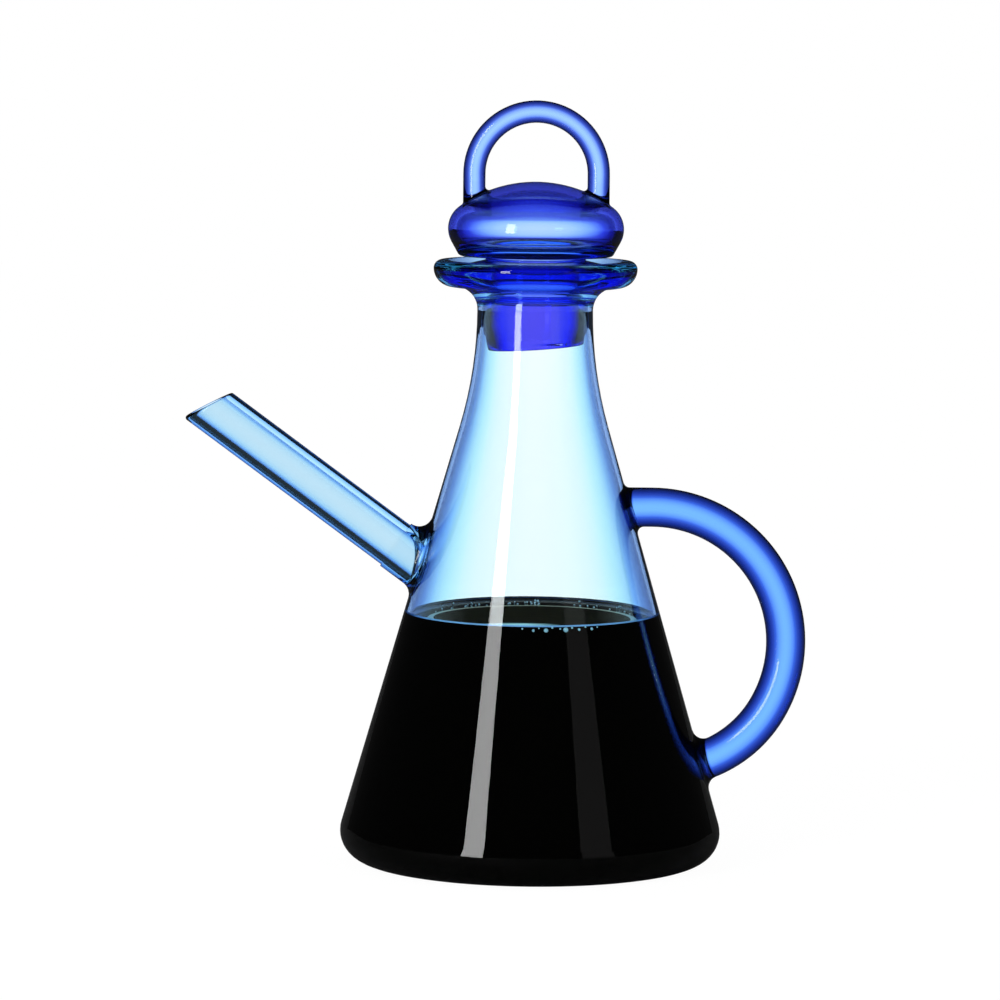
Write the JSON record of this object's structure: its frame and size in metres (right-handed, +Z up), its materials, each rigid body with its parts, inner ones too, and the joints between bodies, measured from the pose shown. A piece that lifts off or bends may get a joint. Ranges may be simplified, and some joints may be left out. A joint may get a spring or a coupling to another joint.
{
  "type": "oil and vinegar cruet",
  "caption": "Conical glass cruet with a slanted pouring spout, a loop handle and a hollow ring-topped stopper, half filled with dark vinegar.",
  "frame": {"origin": "middle of the flat base, on the bottle's axis, at table level", "axes": "+Z up along the bottle's axis, spout towards -X, handle towards +X"},
  "size_m": [0.1629, 0.1, 0.1995],
  "materials": {
    "light_blue_glass": "clear polished glass, light blue through the body",
    "cobalt_glass": "clear polished glass, deep cobalt blue through the body",
    "cobalt_stopper_glass": "clear polished glass, deep cobalt blue through the body",
    "dark_vinegar": "still dark liquid with a glossy surface"
  },
  "bodies": {
    "root": {"bottle": "light_blue_glass", "spout": "light_blue_glass", "handle": "cobalt_glass", "stopper": "cobalt_stopper_glass", "vinegar": "dark_vinegar"}
  },
  "joints": []
}
